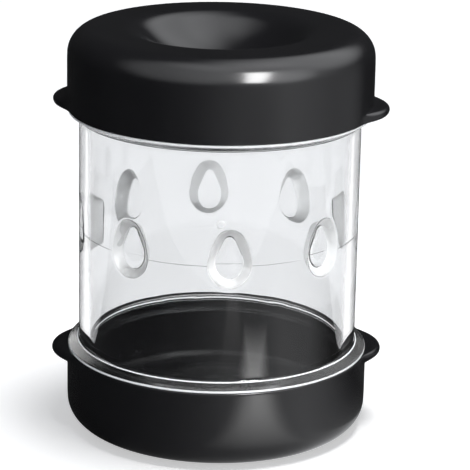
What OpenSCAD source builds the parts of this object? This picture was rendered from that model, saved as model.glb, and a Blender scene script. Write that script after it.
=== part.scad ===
// Egg peeler of the shaken kind: a clear tube with teardrop knobs on its inner wall,
// closed at each end by a dished cap with two pull ears.
// Millimetres. The standing ring of the lower cap is at z = 0, the tube stands along +Z,
// and the ears of the lower cap lie along X.

/* [Tube] */
// Height of clear tube that shows between the two cap rims
tube_shown_h = 58.5; // [45:0.5:75]
// Outside diameter of the tube
tube_d = 66.6; // [62:0.2:76]
// Wall thickness of the tube
tube_wall = 2.6; // [1.8:0.1:3.2]
// How far the flange at each end stands out from the tube's side
flange_out = 2.6; // [1.8:0.1:3]
// Height of a flange's edge, which rests on the cap rim
flange_h = 0.5; // [0.3:0.1:1.2]
// Height of the sloping flare between the tube's side and a flange's edge
flare_h = 1.5; // [1:0.1:4]
// Depth to which the spigot at each end reaches into its cap
spigot_depth = 2.4; // [1.6:0.1:4]
// Chamfer on the end corner of a spigot
spigot_chamfer = 0.4; // [0.1:0.1:0.6]

/* [Teardrop knobs] */
// Number of knobs round the tube
drop_count = 8; // [3:1:10]
// Width of a knob at the tube's inner wall
drop_w = 10.4; // [8:0.2:12]
// Height of a knob at the tube's inner wall
drop_h = 13.4; // [12.5:0.1:18]
// Radius of a knob's upper tip at the tube's inner wall
drop_tip_r = 2.2; // [0.8:0.1:2.6]
// How far a knob stands in from the tube's inner wall
drop_in = 3.4; // [1.5:0.1:4]
// Width of a knob's flat face
drop_face_w = 7.2; // [5:0.2:7.8]
// Angle by which the knobs are turned from the front, between the lower cap's ears
drop_turn = 2; // [-20:1:20]

/* [Gate mark] */
// Diameter of the moulding gate mark on the tube
gate_d = 2; // [1:0.1:3]
// Height of the gate mark above the tube's middle
gate_up = 10.3; // [9.8:0.1:16]
// How far the gate mark stands out from the tube's side
gate_proud = 0.15; // [0.1:0.05:0.4]
// Angle by which the gate mark is turned from the front, between the lower cap's ears
gate_turn = -2; // [-20:1:20]

/* [Caps] */
// Height of a cap from its standing ring to its rim
cap_h = 19; // [17.5:0.5:26]
// Wall thickness of a cap
cap_wall = 2.4; // [1.8:0.1:3]
// How far a cap's side stands out from the flange on its rim
flange_step = 0.25; // [0.1:0.05:0.5]
// Rounding of the rim's edge
rim_round = 0.3; // [0.2:0.05:0.6]
// Gap round a spigot in its cap
spigot_gap = 0.1; // [0.05:0.01:0.2]
// Rounding between a cap's side and its standing ring
shoulder_r = 6; // [4:0.5:8]
// Diameter of the dish where it leaves the standing ring
dish_d = 47; // [38:0.5:48]
// Depth of the dish below the standing ring
dish_depth = 10; // [5:0.5:12]
// Rounding of the dish's edge
dish_edge_r = 7; // [4:0.5:9]
// Angle by which the upper cap's ears are turned from the lower cap's
upper_turn = -9; // [-180:1:180]

/* [Ears] */
// How far an ear stands out from the cap's side
ear_out = 3.85; // [2:0.05:6]
// Radius of an ear's round outline
ear_r = 13.5; // [9:0.5:18]
// Thickness of an ear
ear_t = 2.2; // [1.4:0.1:3]

/* [Hidden] */
$fn = 96;

// Extra reach of a cut past the face that it opens
over = 1;

// Tube
tube_r = tube_d / 2;
tube_in_r = tube_r - tube_wall;
wall_middle_r = tube_r - tube_wall / 2;
flange_r = tube_r + flange_out;
total_h = 2 * cap_h + tube_shown_h;
middle_z = total_h / 2;
flange_top_z = cap_h + flange_h;
flare_top_z = flange_top_z + flare_h;
spigot_low_z = cap_h - spigot_depth;

// Teardrop knobs: half the width and height lost for each millimetre inwards, widest at the tube's middle
drop_slope = (drop_w - drop_face_w) / 2 / drop_in;
drop_middle_z = middle_z + (drop_h - drop_w) / 2;
knob_face_x = tube_in_r - drop_in;
drop_arc_step = 15;

// Caps
cap_r = flange_r + flange_step;
cap_in_r = cap_r - cap_wall;
spigot_r = cap_in_r - spigot_gap;
shoulder_x = cap_r - shoulder_r;
dish_edge_x = dish_d / 2;
// The dish is a ball of this radius, tangent to the round of its edge
dish_r = (dish_edge_x * dish_edge_x + dish_depth * dish_depth) / (2 * dish_depth) - dish_edge_r;
dish_ball_z = dish_depth - dish_r;
edge_to_ball = [-dish_edge_x, dish_ball_z - dish_edge_r] / (dish_r + dish_edge_r);
ear_middle_x = cap_r + ear_out - ear_r;

// Outline of a teardrop, tip up, with its middle height at y = 0
module teardrop(w, h) {
    round_r = w / 2;
    round_y = round_r - h / 2;
    tip_r = drop_tip_r * w / drop_w;
    tip_y = h / 2 - tip_r;
    side_angle = asin((round_r - tip_r) / (tip_y - round_y));
    round_sweep = 180 + 2 * side_angle;
    tip_sweep = 180 - 2 * side_angle;
    round_steps = ceil(round_sweep / drop_arc_step);
    tip_steps = ceil(tip_sweep / drop_arc_step);
    polygon([
        for (i = [0 : round_steps])
            let (a = 180 - side_angle + round_sweep * i / round_steps)
            [round_r * cos(a), round_y + round_r * sin(a)],
        for (i = [0 : tip_steps])
            let (a = side_angle + tip_sweep * i / tip_steps)
            [tip_r * cos(a), tip_y + tip_r * sin(a)]
    ]);
}

// One knob, tapering inwards from its root in the middle of the wall
module knob() {
    root_grow = 2 * drop_slope * (wall_middle_r - tube_in_r);
    face_grow = -2 * drop_slope * drop_in;
    taper = [
        (drop_w + face_grow) / (drop_w + root_grow),
        (drop_h + face_grow) / (drop_h + root_grow)
    ];
    translate([wall_middle_r, 0, drop_middle_z])
        rotate([90, 0, -90])
            linear_extrude(height = wall_middle_r - knob_face_x, scale = taper, slices = 1, segments = 1)
                teardrop(drop_w + root_grow, drop_h + root_grow);
}

// Half of the tube's section, from its lower end to its middle
module tube_half_section() {
    polygon([
        [tube_in_r, spigot_low_z],
        [spigot_r - spigot_chamfer, spigot_low_z],
        [spigot_r, spigot_low_z + spigot_chamfer],
        [spigot_r, cap_h],
        [flange_r, cap_h],
        [flange_r, flange_top_z],
        [tube_r, flare_top_z],
        [tube_r, middle_z],
        [tube_in_r, middle_z]
    ]);
}

module tube_shell() {
    rotate_extrude() {
        tube_half_section();
        translate([0, total_h]) mirror([0, 1]) tube_half_section();
    }
}

module gate_mark() {
    translate([wall_middle_r, 0, middle_z + gate_up])
        rotate([0, 90, 0]) cylinder(d = gate_d, h = tube_r + gate_proud - wall_middle_r);
}

module clear_tube() {
    color([0.86, 0.90, 0.93, 0.35]) {
        tube_shell();
        for (i = [0 : drop_count - 1])
            rotate(-90 + drop_turn + 360 * i / drop_count) knob();
        rotate(-90 + gate_turn) gate_mark();
    }
}

// Section of the dish, at a distance of wall inside the cap's outer skin
module dish_section(wall) {
    edge_r = dish_edge_r - wall;
    meet = [dish_edge_x, dish_edge_r] + edge_r * edge_to_ball;
    intersection() {
        translate([0, dish_ball_z]) circle(dish_r + wall);
        translate([0, -over]) square([meet[0], cap_h]);
    }
    difference() {
        translate([meet[0], -over]) square([dish_edge_x - meet[0], meet[1] + over]);
        translate([dish_edge_x, dish_edge_r]) circle(edge_r);
    }
}

// Section of a cup with a round shoulder, at a distance of wall inside the cap's outer skin
module cup_section(wall, top) {
    translate([0, shoulder_r]) square([cap_r - wall, top - shoulder_r]);
    translate([0, wall]) square([shoulder_x, shoulder_r]);
    translate([shoulder_x, shoulder_r]) circle(shoulder_r - wall);
}

module cap_skin_section() {
    difference() {
        union() {
            cup_section(0, cap_h - rim_round);
            translate([0, shoulder_r]) square([cap_r - rim_round, cap_h - shoulder_r]);
            translate([cap_r - rim_round, cap_h - rim_round]) circle(rim_round);
        }
        dish_section(0);
    }
}

module cap_hollow_section() {
    difference() {
        cup_section(cap_wall, cap_h + over);
        dish_section(cap_wall);
    }
}

// One pull ear: a flat disc with a round edge, flush with the rim
module ear() {
    translate([ear_middle_x, 0, cap_h - ear_t])
        rotate_extrude() {
            square([ear_r - ear_t / 2, ear_t]);
            translate([ear_r - ear_t / 2, ear_t / 2]) circle(d = ear_t);
        }
}

module cap() {
    color([0.07, 0.07, 0.08])
        difference() {
            union() {
                rotate_extrude() cap_skin_section();
                ear();
                rotate(180) ear();
            }
            rotate_extrude() cap_hollow_section();
        }
}

module lower_cap() {
    cap();
}

module upper_cap() {
    translate([0, 0, total_h]) rotate(upper_turn) mirror([0, 0, 1]) cap();
}

lower_cap();
clear_tube();
upper_cap();
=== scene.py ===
"""Egg peeler: a clear tube with teardrop knobs on its inner wall, between two dished black caps.

The tube and the caps are modelled here in metres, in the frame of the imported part, and each stands
for the node of the same name.
"""

import math

import bmesh
import bpy
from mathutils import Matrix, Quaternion, Vector


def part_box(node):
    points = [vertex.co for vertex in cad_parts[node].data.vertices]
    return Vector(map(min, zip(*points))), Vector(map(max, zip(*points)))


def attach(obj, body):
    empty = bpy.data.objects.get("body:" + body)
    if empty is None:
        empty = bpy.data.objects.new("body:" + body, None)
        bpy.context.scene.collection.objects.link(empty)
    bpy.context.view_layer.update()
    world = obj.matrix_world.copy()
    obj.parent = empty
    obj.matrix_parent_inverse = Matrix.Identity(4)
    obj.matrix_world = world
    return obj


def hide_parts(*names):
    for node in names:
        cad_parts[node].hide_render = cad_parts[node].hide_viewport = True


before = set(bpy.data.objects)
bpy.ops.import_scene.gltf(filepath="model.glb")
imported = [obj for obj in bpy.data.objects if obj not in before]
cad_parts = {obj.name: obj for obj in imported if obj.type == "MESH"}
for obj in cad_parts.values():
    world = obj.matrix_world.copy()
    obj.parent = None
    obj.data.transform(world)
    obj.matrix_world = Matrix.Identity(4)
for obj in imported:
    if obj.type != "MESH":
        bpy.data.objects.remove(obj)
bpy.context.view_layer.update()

MM = 0.001

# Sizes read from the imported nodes
cap_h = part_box("lower_cap")[1].z
total_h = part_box("upper_cap")[1].z
middle_z = total_h / 2
spigot_low_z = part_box("clear_tube")[0].z
flange_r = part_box("clear_tube")[1].x

# Tube
tube_r = 33.3 * MM
tube_wall = 2.6 * MM
flange_h = 0.5 * MM
flare_h = 1.5 * MM
flare_out = flange_r - tube_r
spigot_r = 33.65 * MM
# Room between a flange and the cap rim that it rests on
seat_gap = 0.04 * MM

# Teardrop knobs
drop_count = 8
drop_w = 10.4 * MM
drop_h = 13.4 * MM
drop_middle_z = middle_z + (drop_h - drop_w) / 2
drop_turn = math.radians(2)
# Radius of a knob's tip near its face and at its root, and how far from the root it has changed
drop_tip_r = 2.2 * MM
drop_root_tip_r = 3.8 * MM
drop_round_reach = 1.5 * MM
# How far a knob's sides bulge for each millimetre that its tip is rounder
drop_side_bulge = 0.25
# Steps round a knob's tip and round its lower end, and points in its whole outline
drop_tip_steps = 3
drop_round_steps = 11
drop_points = 2 * (drop_tip_steps + drop_round_steps + 2)
# Rings of a knob from its face to the wall, in mm: growth past its outline, and depth from the
# tube's outside
drop_rings = (
    (-4.4, 6),
    (-2.4, 5.95),
    (-1.5, 5.75),
    (-1.05, 5.1),
    (-0.45, 3.8),
    (0.25, 2.63),
    (0.7, 2.6),
    (2, 2.6),
)

# Panel of the tube that holds one knob
panel_half_w = math.pi * tube_r / drop_count
panel_half_h = 12 * MM

# Gate mark
gate_r = 1 * MM
gate_up = 10.3 * MM
gate_proud = 0.15 * MM
gate_edge = 0.15 * MM
gate_turn = math.radians(-2)
gate_cuts = 6

# Caps
flange_step = 0.25 * MM
cap_r = flange_r + flange_step
cap_wall = 2.4 * MM
rim_round = 0.3 * MM
shoulder_r = 6 * MM
dish_edge_x = 23.5 * MM
dish_edge_r = 7 * MM
dish_depth = 10 * MM
upper_turn = math.radians(-9)
cap_columns = 84
# Degrees between the middle of the dish and its first ring
dish_first_ring = 1.4
# Steps round the dish, its edge, the shoulder and the inside of the shoulder
dish_steps = 6
edge_steps = 4
shoulder_steps = 8
inner_shoulder_steps = 6
# Heights of the rows on a cap's side, under the ears, and on its inside
side_rows = (10.5 * MM, 14 * MM, 16 * MM)
inside_row = 12 * MM

# Ears
ear_r = 13.5 * MM
ear_t = 2.2 * MM
ear_low = cap_h - ear_t
ear_tip_x = 40 * MM
ear_middle_x = ear_tip_x - ear_r
ear_columns = 4
# Shares of an ear's thickness at which its rows lie
ear_rows = (0, 0.18, 0.5, 0.82)

# Distances at which extra rows hold a corner when the mesh is smoothed: the closer, the sharper
sharp_hold = 0.06 * MM
flange_hold = 0.1 * MM
soft_hold = 0.3 * MM
flare_hold = 0.5 * MM
wall_hold = 4 * MM
# Shares of the flare at which it is held beside each of its corners
flare_near = 0.03
flare_far = 0.2

# Subdivision of the finished pieces, the reach within which points merge, and what counts as the same place
smooth_levels = 2
merge_reach = 0.002 * MM
same_place = 0.01 * MM


def edit(piece):
    """Opens one piece for editing, with everything on it selected."""
    bpy.ops.object.select_all(action="DESELECT")
    bpy.context.view_layer.objects.active = piece
    piece.select_set(True)
    bpy.ops.object.mode_set(mode="EDIT")
    bpy.ops.mesh.select_all(action="SELECT")


def done():
    """Leaves edit mode."""
    bpy.ops.object.mode_set(mode="OBJECT")


def name_new(name):
    """Names the primitive that was just added."""
    piece = bpy.context.object
    piece.name = name
    piece.data.name = name
    return piece


def select_where(piece, points=None, faces=None):
    """In edit mode, selects just the points, or the faces, that pass a test of their place."""
    bpy.ops.mesh.select_all(action="DESELECT")
    mesh = bmesh.from_edit_mesh(piece.data)
    if points:
        for point in mesh.verts:
            point.select = points(point.co)
    if faces:
        for face in mesh.faces:
            face.select = faces(face.calc_center_median())
    mesh.select_flush(True)
    bmesh.update_edit_mesh(piece.data)


def move_selected(piece, where):
    """In edit mode, moves each selected point to the place that where gives for it."""
    mesh = bmesh.from_edit_mesh(piece.data)
    for point in mesh.verts:
        if point.select:
            point.co = where(point.co)
    bmesh.update_edit_mesh(piece.data)


def apply_modifier(piece, kind, **settings):
    """Adds one modifier with these settings and applies it."""
    modifier = piece.modifiers.new(kind.title(), kind)
    for name, value in settings.items():
        setattr(modifier, name, value)
    bpy.context.view_layer.objects.active = piece
    bpy.ops.object.modifier_apply(modifier=modifier.name)


def close_up(piece):
    """Merges doubled points and turns all faces outwards."""
    edit(piece)
    bpy.ops.mesh.remove_doubles(threshold=merge_reach)
    bpy.ops.mesh.normals_make_consistent(inside=False)
    done()


def smooth(piece):
    """Closes a piece up and subdivides it."""
    close_up(piece)
    apply_modifier(piece, "SUBSURF", levels=smooth_levels, render_levels=smooth_levels)


def arc(centre, radius, start, end, steps):
    """Points along an arc, from one angle in degrees to another."""
    angles = [math.radians(start + (end - start) * i / steps) for i in range(steps + 1)]
    return [(centre[0] + radius * math.cos(a), centre[1] + radius * math.sin(a)) for a in angles]


def radius_of(place):
    """Distance of a point from the tube's axis."""
    return math.hypot(place.x, place.y)


def limited(share):
    """A share, kept between 0 and 1."""
    return max(0, min(1, share))


# Clear tube: one eighth is modelled flat, with X along the wall and Y into it, then repeated and bent round


def teardrop_point(k, tip_r):
    """Point k of a teardrop's outline, from its tip and turning right, about its middle height."""
    if k > drop_points // 2:
        x, z = teardrop_point(drop_points - k, tip_r)
        return -x, z
    round_r = drop_w / 2
    round_z = round_r - drop_h / 2
    tip_z = drop_h / 2 - tip_r
    side = math.asin((round_r - tip_r) / (tip_z - round_z))
    side_step = drop_tip_steps + 1
    if k < side_step:
        a = math.pi / 2 - (math.pi / 2 - side) * k / drop_tip_steps
        return tip_r * math.cos(a), tip_z + tip_r * math.sin(a)
    if k == side_step:
        tip = teardrop_point(side_step - 1, tip_r)
        widest = teardrop_point(side_step + 1, tip_r)
        bulge = drop_side_bulge * (tip_r - drop_tip_r)
        return (tip[0] + widest[0]) / 2 + bulge, (tip[1] + widest[1]) / 2 + bulge / 3
    a = side - (math.pi / 2 + side) * (k - side_step - 1) / drop_round_steps
    return round_r * math.cos(a), round_z + round_r * math.sin(a)


def drop_ring(grow, depth):
    """A teardrop ring grown all round, at a depth in the wall; its tip is rounder near the root."""
    wide = 1 + 2 * grow / drop_w
    tall = 1 + 2 * grow / drop_h
    rounder = limited(1 + grow / drop_round_reach)
    tip_r = drop_tip_r + rounder * (drop_root_tip_r - drop_tip_r)
    outline = [teardrop_point(k, tip_r) for k in range(drop_points)]
    return [Vector((x * wide, depth, drop_middle_z + z * tall)) for x, z in outline]


def panel_ring(depth):
    """The panel's rectangle with as many points as a teardrop ring, at a depth in the wall."""
    quarter = drop_points // 4

    def wave(k):
        k = (k + quarter) % drop_points - quarter
        return max(-1, min(1, 2 - 2 * abs(k - quarter) / quarter))

    return [
        Vector((panel_half_w * wave(k), depth, drop_middle_z + panel_half_h * wave(k + quarter)))
        for k in range(drop_points)
    ]


def nearest(points, place):
    """Number of the point that lies nearest to a place."""
    return min(range(len(points)), key=lambda k: (place - points[k]).length)


def press_drop(piece, rings):
    """Adds a teardrop face to the panel and works outwards from it, ring by ring."""
    bpy.ops.mesh.primitive_circle_add(vertices=drop_points, radius=drop_w / 2, fill_type="TRIFAN")
    first = rings[0]

    def onto_first_ring(place):
        turn = math.atan2(place.x, place.y) / math.tau
        if place.length < drop_tip_r:
            return Vector((0, first[0].y, drop_middle_z))
        return first[round(turn * drop_points) % drop_points]

    move_selected(piece, onto_first_ring)
    select_where(piece, points=lambda place: (place - first[nearest(first, place)]).length < same_place)
    for old, new in zip(rings, rings[1:]):
        bpy.ops.mesh.extrude_edges_move()
        move_selected(piece, lambda place: new[nearest(old, place)])


def pull_end(piece, side):
    """Pulls the panel's edge to the tube's end, round the flange and spigot and back inside."""
    edge_up = (drop_middle_z + side * panel_half_h - middle_z) * side
    rim = middle_z - cap_h - seat_gap
    low = middle_z - cap_h - flange_h
    top = low - flare_h
    end = middle_z - spigot_low_z
    in_r = tube_r - tube_wall
    path = [
        (tube_r, edge_up),
        (tube_r, top - wall_hold),
        (tube_r, top - flare_hold),
        (tube_r + flare_near * flare_out, top - flare_near * flare_h),
        (tube_r + flare_far * flare_out, top + flare_far * flare_h),
        (flange_r - flare_far * flare_out, low - flare_far * flare_h),
        (flange_r - flare_near * flare_out, low - flare_near * flare_h),
        (flange_r, low + flange_hold),
        (flange_r, rim - sharp_hold),
        (flange_r, rim),
        (flange_r - sharp_hold, rim),
        (spigot_r + sharp_hold, rim),
        (spigot_r, rim),
        (spigot_r, rim + sharp_hold),
        (spigot_r, end - soft_hold),
        (spigot_r, end),
        (spigot_r - soft_hold, end),
        (in_r + soft_hold, end),
        (in_r, end),
        (in_r, end - soft_hold),
        (in_r, top - wall_hold),
        (in_r, edge_up),
    ]
    edge_z = middle_z + side * edge_up
    select_where(piece, points=lambda p: abs(p.z - edge_z) < same_place and abs(p.y) < same_place)
    for (r, up), (next_r, next_up) in zip(path, path[1:]):
        step = (0, r - next_r, side * (next_up - up))
        bpy.ops.mesh.extrude_edges_move(TRANSFORM_OT_translate={"value": step})


def gate_middle():
    """Middle of the gate mark on the tube's outside."""
    return Vector((tube_r * math.sin(gate_turn), -tube_r * math.cos(gate_turn), middle_z + gate_up))


def raise_gate(piece):
    """Raises the round gate mark on the tube's outside, above the front knob."""
    middle = gate_middle()

    def lifted(place):
        share = limited((gate_r - (place - middle).length) / gate_edge)
        flat = Vector((place.x, place.y, 0)).normalized()
        return flat * (tube_r + gate_proud * share) + Vector((0, 0, place.z))

    edit(piece)
    select_where(piece, faces=lambda place: (place - middle).length < 2 * gate_r)
    bpy.ops.mesh.subdivide(number_cuts=gate_cuts)
    move_selected(piece, lifted)
    done()


def make_tube():
    """The clear tube with its eight teardrop knobs, and a flange and a spigot at each end."""
    steps = drop_points // 4
    bpy.ops.object.select_all(action="DESELECT")
    bpy.ops.mesh.primitive_grid_add(x_subdivisions=steps, y_subdivisions=steps, size=2)
    tube = name_new("clear_tube_moulding")
    edit(tube)
    move_selected(tube, lambda p: Vector((panel_half_w * p.x, 0, drop_middle_z + panel_half_h * p.y)))
    rings = [drop_ring(grow * MM, into * MM) for grow, into in drop_rings]
    press_drop(tube, rings + [panel_ring(tube_wall)])
    for side in (-1, 1):
        pull_end(tube, side)
    done()
    smooth(tube)
    apply_modifier(
        tube,
        "ARRAY",
        count=drop_count,
        relative_offset_displace=(1, 0, 0),
        use_merge_vertices=True,
        merge_threshold=merge_reach,
    )
    apply_modifier(tube, "SIMPLE_DEFORM", deform_method="BEND", deform_axis="Z", angle=math.tau)
    edit(tube)
    bpy.ops.transform.translate(value=(0, -tube_r, 0))
    bpy.ops.transform.rotate(value=-drop_turn, orient_axis="Z", center_override=(0, 0, 0))
    done()
    close_up(tube)
    raise_gate(tube)
    bpy.ops.object.shade_smooth()
    return tube


# Caps


def cap_profile():
    """The cap's section from the middle of its dish, out round its skin and back along its inside."""
    dish_r = (dish_edge_x**2 + dish_depth**2) / (2 * dish_depth) - dish_edge_r
    ball = (0, dish_depth - dish_r)
    edge = (dish_edge_x, dish_edge_r)
    shoulder = (cap_r - shoulder_r, shoulder_r)
    ring_x = (dish_edge_x + shoulder[0]) / 2
    lean = math.degrees(math.atan2(edge[0], edge[1] - ball[1]))
    in_r = cap_r - cap_wall
    skin = [(0, dish_depth)]
    skin += arc(ball, dish_r, 90 - dish_first_ring, 90 - lean, dish_steps)
    skin += arc(edge, dish_edge_r, 270 - lean, 270, edge_steps)[1:]
    skin += [(ring_x, 0)]
    skin += arc(shoulder, shoulder_r, 270, 360, shoulder_steps)
    skin += [(cap_r, z) for z in side_rows]
    skin += [(cap_r, ear_low + share * ear_t) for share in ear_rows]
    skin += arc((cap_r - rim_round, cap_h - rim_round), rim_round, 45, 90, 1)
    rim = [(in_r + soft_hold, cap_h), (in_r, cap_h), (in_r, cap_h - soft_hold)]
    inside = [(in_r, inside_row)]
    inside += arc(shoulder, shoulder_r - cap_wall, 360, 270, inner_shoulder_steps)
    inside += [(ring_x, cap_wall)]
    inside += arc(edge, dish_edge_r - cap_wall, 270, 270 - lean, edge_steps)
    inside += arc(ball, dish_r + cap_wall, 90 - lean, 90 - dish_first_ring, dish_steps)[1:]
    inside += [(0, dish_depth + cap_wall)]
    return [Vector((r, 0, z)) for r, z in skin + rim + inside]


def draw_line(piece, points):
    """In edit mode, draws a line of edges point by point, from a single point left of the primitive."""
    bpy.ops.mesh.merge(type="CENTER")
    move_selected(piece, lambda place: points[0])
    for here, there in zip(points, points[1:]):
        bpy.ops.mesh.extrude_vertices_move(TRANSFORM_OT_translate={"value": there - here})
    bpy.ops.mesh.select_all(action="SELECT")


def angle_from_ear(place):
    """Angle round the cap between a point and the middle of the nearer ear."""
    return math.atan2(abs(place.y), abs(place.x))


def ear_reach(place):
    """How far an ear stands out from the cap's side in the direction of a point."""
    a = angle_from_ear(place)
    if a > math.tau * (ear_columns - 0.5) / cap_columns:
        return 0
    across = ear_middle_x * math.sin(a)
    return ear_middle_x * math.cos(a) + math.sqrt(ear_r**2 - across**2) - cap_r


def pull_ears(piece):
    """Pulls the two ears out of the cap's side, in two steps, and rounds their edge."""
    reach_angle = math.tau * ear_columns / cap_columns

    def on_ear(place):
        on_side = radius_of(place) > cap_r - rim_round and place.z > ear_low
        return on_side and angle_from_ear(place) < reach_angle

    def to_radius(place, r):
        return place * (r / radius_of(place)) * Vector((1, 1, 0)) + Vector((0, 0, place.z))

    def half_way(place):
        return to_radius(place, radius_of(place) + max(0, (ear_reach(place) - ear_t / 2) / 2))

    def to_edge(place):
        out = ear_reach(place)
        if out == 0:
            return place
        q = 2 * (place.z - ear_low) / ear_t - 1
        inset = ear_t / 2 * (1 - math.sqrt(max(0, 1 - q * q)))
        return to_radius(place, cap_r + out - inset)

    select_where(piece, faces=on_ear)
    for where in (half_way, to_edge):
        bpy.ops.mesh.extrude_region_move()
        move_selected(piece, where)


def make_lower_cap():
    """A dished cap: its section spun round, two ears pulled from its side, then smoothed."""
    bpy.ops.object.select_all(action="DESELECT")
    bpy.ops.mesh.primitive_plane_add(size=cap_r)
    cap = name_new("lower_cap_moulding")
    edit(cap)
    draw_line(cap, cap_profile())
    bpy.ops.mesh.spin(steps=cap_columns, angle=math.tau, center=(0, 0, 0), axis=(0, 0, 1))
    bpy.ops.mesh.select_all(action="SELECT")
    bpy.ops.mesh.remove_doubles(threshold=merge_reach)
    pull_ears(cap)
    done()
    smooth(cap)
    bpy.ops.object.shade_smooth()
    return cap


def make_upper_cap(lower):
    """A copy of the lower cap, turned over onto the tube's other end."""
    bpy.ops.object.select_all(action="DESELECT")
    bpy.context.view_layer.objects.active = lower
    lower.select_set(True)
    bpy.ops.object.duplicate()
    cap = name_new("upper_cap_moulding")
    edit(cap)
    for axis, turn in (("X", math.pi), ("Z", -upper_turn)):
        bpy.ops.transform.rotate(value=turn, orient_axis=axis, center_override=(0, 0, middle_z))
    done()
    return cap


tube = make_tube()
lower_cap = make_lower_cap()
upper_cap = make_upper_cap(lower_cap)


# Materials: each pair of colours is what a finish wanders between, in linear light

black_colours = ((0.007, 0.007, 0.008, 1), (0.01, 0.01, 0.011, 1))
black_smooth = 0.15
black_dull = 0.21
black_rub = 0.05
black_grain_h = 0.03 * MM
black_grain_share = 0.03

clear_tint = (0.88, 0.885, 0.89, 1)
clear_shadow = (0.93, 0.94, 0.94, 1)
clear_ior = 1.53
clear_rub = 0.03
flare_satin = 0.22

# Pale colour of the knobs' sides and the gate mark's edge: a painted reflection, not the plastic's own
# colour
painted_reflection_colours = ((0.86, 0.865, 0.87, 1), (0.92, 0.925, 0.93, 1))
painted_reflection_rough = 0.4
painted_reflection_through = 0.45

# Opaque white of the tube's edges: a painted highlight, not the plastic's own colour
painted_highlight_colours = ((0.88, 0.89, 0.9, 1), (0.94, 0.945, 0.95, 1))
painted_highlight_rough = 0.35

# Parting line: half its width, where it has died away, its height and how strongly it shows
parting_half_w = 0.05 * MM
parting_end = 0.2 * MM
parting_h = 0.06 * MM
parting_share = 0.5

# Where the tube's satin flares, its painted white edge highlight and the painted reflection on the knobs'
# sides lie: inside the flange's edge, outside the tube's side, and in from its side
flange_band = 0.08 * MM
flare_start = 0.2 * MM
corner_end = 0.45 * MM
knob_painted_reflection_start = 2.75 * MM
knob_painted_reflection_end = 5.7 * MM
# Shares of the gate mark's radius between which its edge is pale, a painted reflection
gate_painted_ring_start = 0.7
gate_painted_ring_end = 1.05


def feed(tree, socket, value):
    """Links a socket to another node's output, or sets it to a plain value."""
    if isinstance(value, bpy.types.NodeSocket):
        tree.links.new(value, socket)
    else:
        socket.default_value = value


def node(tree, kind, **values):
    """Adds one node, with its properties, and its inputs as plain values or other nodes' outputs."""
    made = tree.nodes.new(kind)
    for name, value in values.items():
        if hasattr(made, name):
            setattr(made, name, value)
        else:
            feed(tree, made.inputs[name.replace("_", " ")], value)
    return made


def calc(tree, operation, *inputs, use_clamp=False):
    """Adds one sum of numbers, and gives its result."""
    made = node(tree, "ShaderNodeMath", operation=operation, use_clamp=use_clamp)
    for socket, value in zip(made.inputs, inputs):
        feed(tree, socket, value)
    return made.outputs["Value"]


def vector_calc(tree, operation, result, *inputs):
    """Adds one sum of vectors, and gives its result, a Vector or a Value."""
    made = node(tree, "ShaderNodeVectorMath", operation=operation)
    for socket, value in zip(made.inputs, inputs):
        feed(tree, socket, value)
    return made.outputs[result]


def ramp(tree, value, **ends):
    """Adds a smooth step of a value between two ends."""
    made = node(tree, "ShaderNodeMapRange", interpolation_type="SMOOTHSTEP", Value=value, **ends)
    return made.outputs["Result"]


def mix_shaders(tree, surface, share, first, second):
    """Feeds a surface with a mix of two shaders."""
    mix = node(tree, "ShaderNodeMixShader", Fac=share)
    feed(tree, mix.inputs[1], first.outputs[0])
    feed(tree, mix.inputs[2], second.outputs[0])
    feed(tree, surface, mix.outputs["Shader"])


def moulded_detail():
    """Node group with what a moulded surface shows close up: soft mottle, fine grain and hairline rubs."""
    group = bpy.data.node_groups.new("moulded_detail", "ShaderNodeTree")
    group.interface.new_socket("Place", in_out="INPUT", socket_type="NodeSocketVector")
    for name, value in (("Mottle Scale", 90), ("Grain Scale", 3000), ("Rub Scale", 160)):
        socket = group.interface.new_socket(name, in_out="INPUT", socket_type="NodeSocketFloat")
        socket.default_value = value
    for name in ("Mottle", "Grain", "Rubs"):
        group.interface.new_socket(name, in_out="OUTPUT", socket_type="NodeSocketFloat")
    given = node(group, "NodeGroupInput").outputs
    out = node(group, "NodeGroupOutput")
    for name, detail in (("Mottle", 3), ("Grain", 2)):
        noise = node(group, "ShaderNodeTexNoise", Vector=given["Place"], Detail=detail, Roughness=0.55)
        feed(group, noise.inputs["Scale"], given[f"{name} Scale"])
        feed(group, out.inputs[name], noise.outputs["Fac"])
    stretch = node(
        group, "ShaderNodeMapping", Vector=given["Place"], Rotation=(0.5, 0.3, 0), Scale=(1, 1, 0.04)
    )
    streaks = node(group, "ShaderNodeTexNoise", Vector=stretch.outputs["Vector"], Detail=4, Roughness=0.7)
    feed(group, streaks.inputs["Scale"], given["Rub Scale"])
    thin = node(group, "ShaderNodeMapRange", Value=streaks.outputs["Fac"], From_Min=0.58, From_Max=0.75)
    feed(group, out.inputs["Rubs"], thin.outputs["Result"])
    return group


detail_group = moulded_detail()


def new_material(name):
    """An empty material with its output and its texture coordinates."""
    material = bpy.data.materials.new(name)
    material.use_nodes = True
    tree = material.node_tree
    tree.nodes.clear()
    out = node(tree, "ShaderNodeOutputMaterial")
    place = node(tree, "ShaderNodeTexCoord")
    return material, tree, place, out.inputs["Surface"]


def add_detail(tree, place, **scales):
    """Places the shared detail group in a material with its own scales, and gives its outputs."""
    detail = tree.nodes.new("ShaderNodeGroup")
    detail.node_tree = detail_group
    feed(tree, detail.inputs["Place"], place.outputs["Object"])
    for name, value in scales.items():
        feed(tree, detail.inputs[name.replace("_", " ")], value)
    return detail.outputs


def mottled(tree, mottle, colours):
    """A colour that wanders between two by the soft mottle."""
    mix = node(tree, "ShaderNodeMix", data_type="RGBA", Factor=mottle, A=colours[0], B=colours[1])
    return mix.outputs["Result"]


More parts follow.
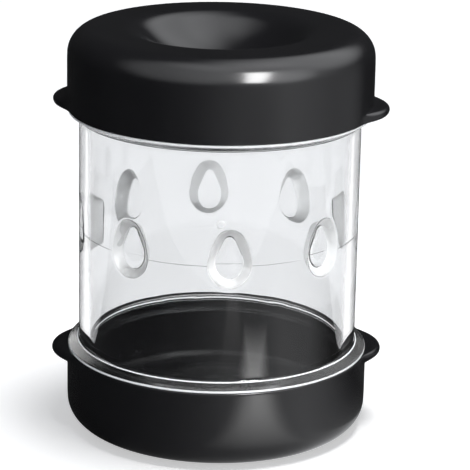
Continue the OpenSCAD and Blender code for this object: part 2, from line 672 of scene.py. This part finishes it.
def satin_black():
    """Black moulded plastic with a satin skin."""
    material, tree, place, surface = new_material("satin_black_plastic")
    detail = add_detail(tree, place, Mottle_Scale=70, Grain_Scale=2600, Rub_Scale=120)
    gloss = node(tree, "ShaderNodeMapRange", Value=detail["Mottle"], To_Min=black_smooth, To_Max=black_dull)
    bump = node(tree, "ShaderNodeBump", Strength=black_grain_share, Distance=black_grain_h)
    feed(tree, bump.inputs["Height"], detail["Grain"])
    shader = node(
        tree,
        "ShaderNodeBsdfPrincipled",
        Base_Color=mottled(tree, detail["Mottle"], black_colours),
        Roughness=calc(tree, "MULTIPLY_ADD", detail["Rubs"], black_rub, gloss.outputs["Result"]),
        Normal=bump.outputs["Normal"],
    )
    feed(tree, surface, shader.outputs["BSDF"])
    return material


def clear_polished():
    """Clear moulded plastic: polished, with satin flares and a parting line round its middle."""
    material, tree, place, surface = new_material("clear_polished_plastic")
    detail = add_detail(tree, place, Rub_Scale=90)
    point = place.outputs["Object"]
    radius = vector_calc(tree, "LENGTH", "Value", vector_calc(tree, "MULTIPLY", "Vector", point, (1, 1, 0)))

    # The flares are satin where they are seen from outside
    facing = node(tree, "ShaderNodeNewGeometry")
    flare = calc(tree, "GREATER_THAN", radius, tube_r + flare_start)
    outside = calc(tree, "SUBTRACT", flare, facing.outputs["Backfacing"], use_clamp=True)
    gloss = node(tree, "ShaderNodeMapRange", Value=detail["Rubs"], To_Min=0, To_Max=clear_rub)

    # The parting line stands on the inner wall
    up = node(tree, "ShaderNodeSeparateXYZ", Vector=point).outputs["Z"]
    away = calc(tree, "ABSOLUTE", calc(tree, "SUBTRACT", up, middle_z))
    line = ramp(tree, away, From_Min=parting_half_w, From_Max=parting_end, To_Min=1, To_Max=0)
    inner = calc(tree, "LESS_THAN", radius, tube_r - tube_wall / 2)
    bump = node(tree, "ShaderNodeBump", Strength=parting_share, Distance=parting_h)
    feed(tree, bump.inputs["Height"], calc(tree, "MULTIPLY", line, inner))

    shader = node(
        tree,
        "ShaderNodeBsdfPrincipled",
        Base_Color=clear_tint,
        Roughness=calc(tree, "MULTIPLY_ADD", outside, flare_satin, gloss.outputs["Result"]),
        IOR=clear_ior,
        Transmission_Weight=1,
        Normal=bump.outputs["Normal"],
    )
    let_lamps_in = node(tree, "ShaderNodeBsdfTransparent", Color=clear_shadow)
    path = node(tree, "ShaderNodeLightPath")
    mix_shaders(tree, surface, path.outputs["Is Shadow Ray"], shader, let_lamps_in)
    return material


def painted_reflection_clear():
    """Half-clear, pale, rough plastic on the knobs' sides and the gate mark's edge; its pale colour is a
    painted reflection of the light that their sides throw back.
    """
    material, tree, place, surface = new_material("satin_clear_plastic")
    detail = add_detail(tree, place, Mottle_Scale=300)
    shader = node(
        tree,
        "ShaderNodeBsdfPrincipled",
        Base_Color=mottled(tree, detail["Mottle"], painted_reflection_colours),
        Roughness=painted_reflection_rough,
        IOR=clear_ior,
        Transmission_Weight=painted_reflection_through,
    )
    feed(tree, surface, shader.outputs["BSDF"])
    return material


def painted_edge_highlight():
    """The tube's edges: outside, an opaque white that is a painted highlight for the bright lines of light
    along them; clear inside.
    """
    material, tree, place, surface = new_material("bright_edge_plastic")
    detail = add_detail(tree, place, Mottle_Scale=400)
    # Painted highlight: opaque white on the outside of the edges
    white = mottled(tree, detail["Mottle"], painted_highlight_colours)
    outside = node(tree, "ShaderNodeBsdfPrincipled", Base_Color=white, Roughness=painted_highlight_rough)
    inside = node(
        tree,
        "ShaderNodeBsdfPrincipled",
        Base_Color=clear_tint,
        Roughness=0,
        IOR=clear_ior,
        Transmission_Weight=1,
    )
    facing = node(tree, "ShaderNodeNewGeometry")
    mix_shaders(tree, surface, facing.outputs["Backfacing"], outside, inside)
    return material


def on_painted_highlight_edge(place):
    """Tells whether a point lies on a flange's edge, or near the corner where its flare leaves the tube:
    where the white highlight is painted.
    """
    r = radius_of(place)
    on_flange = r > flange_r - flange_band
    on_flare = abs(place.z - middle_z) < middle_z - cap_h - flange_h
    return on_flange or (on_flare and flare_start < r - tube_r < corner_end)


def on_painted_reflection(place):
    """Tells whether a point lies on a knob's side, or on the edge of the gate mark: where the reflection is
    painted.
    """
    into = tube_r - radius_of(place)
    on_knob = knob_painted_reflection_start < into < knob_painted_reflection_end
    gate_share = (place - gate_middle()).length / gate_r
    on_gate = gate_painted_ring_start < gate_share < gate_painted_ring_end and into < -same_place
    return on_knob or on_gate


black = satin_black()
clear = clear_polished()

for piece, material, body, cad_node, slot in (
    (lower_cap, black, "lower_cap", "lower_cap", "cap_plastic"),
    (tube, clear, "tube", "clear_tube", "clear_plastic"),
    (upper_cap, black, "upper_cap", "upper_cap", "cap_plastic"),
):
    piece.data.materials.clear()
    piece.data.materials.append(material)
    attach(piece, body)
    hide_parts(cad_node)

# The painted white edge highlight, and the painted reflection on the knobs' sides and the gate mark's edge,
# each go on their own faces
for material, chosen in ((painted_edge_highlight(), on_painted_highlight_edge), (painted_reflection_clear(), on_painted_reflection)):
    tube.data.materials.append(material)
    edit(tube)
    select_where(tube, faces=chosen)
    tube.active_material_index = len(tube.data.materials) - 1
    bpy.ops.object.material_slot_assign()
    done()


# Camera at the photograph's viewing angle

image_px = 470
focal_px = 2395.1
aim_px = (218.43, 226.82)
camera_azimuth = -3
camera_elevation = 16.823
camera_distance = 0.5729
camera_roll = 1.015
aim = Vector((0, 0, 48 * MM))


def direction(azimuth, elevation):
    """Unit vector from the object; azimuth 0 is towards -Y, 90 towards +X."""
    a, e = math.radians(azimuth), math.radians(elevation)
    return Vector((math.sin(a) * math.cos(e), -math.cos(a) * math.cos(e), math.sin(e)))


def aimed(name, data, azimuth, elevation, distance, roll):
    """A camera or a lamp that looks at the aim from a distance, rolled by some degrees."""
    thing = bpy.data.objects.new(name, data)
    bpy.context.scene.collection.objects.link(thing)
    back = direction(azimuth, elevation)
    thing.location = aim + back * distance
    thing.rotation_mode = "QUATERNION"
    level = (-back).to_track_quat("-Z", "Y")
    thing.rotation_quaternion = level @ Quaternion((0, 0, 1), math.radians(roll))
    return thing


def add_camera():
    """The camera, aimed at the tube's middle and shifted to the photograph's framing."""
    data = bpy.data.cameras.new("camera")
    data.lens = data.sensor_width * focal_px / image_px
    data.shift_x = (image_px / 2 - aim_px[0]) / image_px
    data.shift_y = -(image_px / 2 - aim_px[1]) / image_px
    data.clip_start = 0.01
    data.clip_end = 20
    camera = aimed("camera", data, camera_azimuth, camera_elevation, camera_distance, camera_roll)
    bpy.context.scene.camera = camera


# Stage: sizes are in metres, and a radiance of 1 is white

white = (1, 1, 1, 1)
floor_size = 12
floor_colour = (0.9, 0.9, 0.9, 1)
floor_rough = 0.9
# Level to which the floor is lifted under the object, and the distances between which it grows to white
floor_glow = 0.5
shadow_end = 0.35
white_start = 1.2

# World: its light, and what glass sees of it in front and behind, with half the width of the change
ambient = (0.14, 0.15, 0.17, 1)
front_level = 0.5
back_level = 0.03
change_half = 0.2

# Dark room: its level, tint and soft bright areas, each with its azimuth and elevation in degrees,
# the cosines at which it starts and is full, and its radiance
room_size = 3
room_level = 0.02
room_tint = (0.97, 0.98, 1, 1)
room_lobes = (
    (30, 40, 0.35, 1, 0.78),
    (-30, 50, 0.6, 0.9, 0.95),
    (75, 0, 0.6, 1, 0.44),
    (45, 30, 0.85, 1, 2.4),
    (115, 52, 0.75, 1, 1.9),
    (45, 85, 0.85, 1, 0.7),
)

# Heights over the floor, so that each thing that lies on it covers the one before
room_up = 0.3 * MM
mat_up = 0.4 * MM
strip_up = 0.5 * MM
mat_level = 0.03

# Limits that tell rays that turned back in the tube's near wall: passes through its surface, and reflections
most_passes = 2.5
least_turns = 0.5

# Where the bands that glass sees start: out to each side of the object, and back from its middle
band_out = 0.033
band_back = 0.004

up = Vector((0, 0, 1))
side = direction(camera_azimuth + 90, 0)
forward = direction(camera_azimuth, 0)


def hide_from(thing, *rays):
    """Hides a thing of the stage from these kinds of ray."""
    for ray in rays:
        setattr(thing, f"visible_{ray}", False)


def show_only_to(thing, ray):
    """Hides a thing of the stage from all kinds of ray but one."""
    rays = ["camera", "diffuse", "glossy", "transmission", "volume_scatter", "shadow"]
    rays.remove(ray)
    hide_from(thing, *rays)


def seen_rays(tree):
    """Adds a value that is 1 for what the eye, gloss and glass see, and 0 for light."""
    path = node(tree, "ShaderNodeLightPath").outputs
    through = calc(tree, "ADD", path["Is Camera Ray"], path["Is Transmission Ray"])
    return calc(tree, "ADD", through, path["Is Glossy Ray"], use_clamp=True)


def add_floor():
    """A wide white floor, lifted to white where it is seen."""
    bpy.ops.object.select_all(action="DESELECT")
    bpy.ops.mesh.primitive_plane_add(size=floor_size)
    floor = name_new("floor")
    material, tree, place, surface = new_material("floor_white")
    away = vector_calc(tree, "LENGTH", "Value", place.outputs["Object"])
    level = node(
        tree, "ShaderNodeMapRange", Value=away, From_Min=shadow_end, From_Max=white_start, To_Min=floor_glow
    )
    shader = node(
        tree,
        "ShaderNodeBsdfPrincipled",
        Base_Color=floor_colour,
        Roughness=floor_rough,
        Specular_IOR_Level=0,
        Emission_Color=white,
        Emission_Strength=calc(tree, "MULTIPLY", seen_rays(tree), level.outputs["Result"]),
    )
    feed(tree, surface, shader.outputs["BSDF"])
    floor.data.materials.append(material)


def add_world():
    """A world that is white to the eye, grey in front and dark behind to glass, and a faint cool light."""
    world = bpy.data.worlds.new("studio")
    bpy.context.scene.world = world
    world.use_nodes = True
    tree = world.node_tree
    tree.nodes.clear()
    out = node(tree, "ShaderNodeOutputWorld")
    place = node(tree, "ShaderNodeTexCoord")
    back = node(tree, "ShaderNodeSeparateXYZ", Vector=place.outputs["Generated"]).outputs["Y"]
    level = node(
        tree,
        "ShaderNodeMapRange",
        Value=back,
        From_Min=-change_half,
        From_Max=change_half,
        To_Min=front_level,
        To_Max=back_level,
    )
    shown = node(tree, "ShaderNodeMix", data_type="RGBA", Factor=seen_rays(tree), A=ambient)
    feed(tree, shown.inputs["B"], level.outputs["Result"])
    path = node(tree, "ShaderNodeLightPath")
    eye = node(tree, "ShaderNodeMix", data_type="RGBA", Factor=path.outputs["Is Camera Ray"], B=white)
    feed(tree, eye.inputs["A"], shown.outputs["Result"])
    sky = node(tree, "ShaderNodeBackground", Color=eye.outputs["Result"])
    feed(tree, out.inputs["Surface"], sky.outputs["Background"])


def add_dark_room():
    """Dark walls and table that only reflections see, lit softly from the right and from above."""
    bpy.ops.object.select_all(action="DESELECT")
    bpy.ops.mesh.primitive_cube_add(size=room_size)
    room = name_new("dark_room")
    edit(room)
    bpy.ops.transform.translate(value=(0, 0, room_size / 2 + room_up))
    done()
    material, tree, place, surface = new_material("dark_room")
    towards = vector_calc(tree, "NORMALIZE", "Vector", place.outputs["Object"])
    level = room_level
    for azimuth, elevation, start, full, radiance in room_lobes:
        lobe = direction(azimuth, elevation)
        facing = vector_calc(tree, "DOT_PRODUCT", "Value", towards, lobe)
        share = ramp(tree, facing, From_Min=start, From_Max=full, To_Max=radiance)
        level = calc(tree, "ADD", share, level)
    glow = node(tree, "ShaderNodeEmission", Color=room_tint, Strength=level)
    feed(tree, surface, glow.outputs["Emission"])
    room.data.materials.append(material)
    show_only_to(room, "glossy")


def add_card(name, middle, along, across, radiance, ray, fading="", near_wall=False):
    """A card that one kind of ray sees, fading to its edges along the axes in fading.

    along and across are half its sides. With near_wall, only rays that turned back in the tube's
    near wall see it.
    """
    bpy.ops.object.select_all(action="DESELECT")
    bpy.ops.mesh.primitive_plane_add(size=2)
    card = name_new(name)
    edit(card)
    move_selected(card, lambda p: middle + along * p.x + across * p.y)
    done()
    material, tree, place, surface = new_material(name)
    hidden = 0
    if near_wall:
        path = node(tree, "ShaderNodeLightPath").outputs
        far = calc(tree, "GREATER_THAN", path["Transmission Depth"], most_passes)
        straight = calc(tree, "LESS_THAN", path["Glossy Depth"], least_turns)
        hidden = calc(tree, "MAXIMUM", far, straight)
    spot = node(tree, "ShaderNodeSeparateXYZ", Vector=place.outputs["UV"]).outputs
    half = 0.5
    for axis in fading:
        off_middle = calc(tree, "ABSOLUTE", calc(tree, "SUBTRACT", spot[axis], half))
        hidden = calc(tree, "MAXIMUM", ramp(tree, off_middle, From_Max=half), hidden)
    glow = node(tree, "ShaderNodeEmission", Color=white, Strength=radiance)
    mix_shaders(tree, surface, hidden, glow, node(tree, "ShaderNodeBsdfTransparent"))
    card.data.materials.append(material)
    show_only_to(card, ray)


def add_strip(name, start, azimuth, first, last, half_w, radiance, ray, fading):
    """A card on the floor between two distances from a start, at an azimuth from the camera's."""
    away = direction(camera_azimuth + azimuth, 0)
    across = direction(camera_azimuth + azimuth + 90, 0)
    middle = start + away * (first + last) / 2 + up * strip_up
    add_card(name, middle, across * half_w, away * (last - first) / 2, radiance, ray, fading)


def softbox(name, azimuth, elevation, distance, width, height, radiance, roll=0):
    """A rectangular soft light aimed at the object."""
    data = bpy.data.lights.new(name, "AREA")
    data.shape = "RECTANGLE"
    data.size = width
    data.size_y = height
    data.energy = radiance * math.pi * width * height
    return aimed(name, data, azimuth, elevation, distance, roll)


def light_only(lamp, pieces):
    """Keeps a lamp's light on these pieces."""
    group = bpy.data.collections.new(f"{lamp.name}_on")
    for piece in pieces:
        group.objects.link(piece)
    lamp.light_linking.receiver_collection = group


def add_lamps():
    """A fill that gives the shadow, a key that only gloss shows, a front light and two edge lamps."""
    fill = softbox("fill", azimuth=68, elevation=82.5, distance=0.9, width=0.28, height=0.28, radiance=23)
    key = softbox(
        "key", azimuth=25, elevation=34, distance=0.7, width=0.18, height=0.52, radiance=24, roll=-12
    )
    front = softbox("front", azimuth=25, elevation=34, distance=0.9, width=0.5, height=0.5, radiance=8.5)
    hide_from(key, "diffuse", "transmission")
    for lamp in (fill, front):
        hide_from(lamp, "glossy", "transmission")
    for lamp in (key, front):
        light_only(lamp, [lower_cap, tube, upper_cap])
    for name, azimuth, radiance in (("left_edge", 200, 2.2), ("right_edge", 154, 0.5)):
        edge = softbox(name, azimuth, elevation=20, distance=0.9, width=0.5, height=0.5, radiance=radiance)
        hide_from(edge, "camera", "diffuse", "transmission")
        light_only(edge, [tube])


def add_cards():
    """The strips that show in the gloss, the bands that glass sees, and the dark mats."""
    add_strip(
        "cap_strip",
        start=direction(camera_azimuth + 16, 0) * cap_r,
        azimuth=32,
        first=0,
        last=0.1,
        half_w=0.021,
        radiance=4.5,
        ray="glossy",
        fading="XY",
    )
    add_strip(
        "tube_strip",
        start=direction(camera_azimuth + 6.5, 0) * tube_r,
        azimuth=13,
        first=0.03,
        last=0.3,
        half_w=0.018,
        radiance=1,
        ray="glossy",
        fading="XY",
    )
    for name, hand, azimuth in (("left_band", -1, 215), ("right_band", 1, 145)):
        add_strip(
            name,
            start=side * hand * band_out - forward * band_back,
            azimuth=azimuth,
            first=0.03,
            last=0.3,
            half_w=0.022,
            radiance=1.7,
            ray="transmission",
            fading="X",
        )
    add_card(
        "front_mat",
        middle=forward * 0.07 + up * mat_up,
        along=side * 0.25,
        across=forward * 0.095,
        radiance=mat_level,
        ray="transmission",
        near_wall=True,
    )
    add_card(
        "right_mat",
        middle=direction(98, 0) * 0.085 + up * mat_up,
        along=forward * 0.06,
        across=side * 0.045,
        radiance=mat_level,
        ray="glossy",
        fading="X",
    )


add_camera()
add_floor()
add_world()
add_dark_room()
add_lamps()
add_cards()

bpy.context.scene.view_settings.view_transform = "Standard"
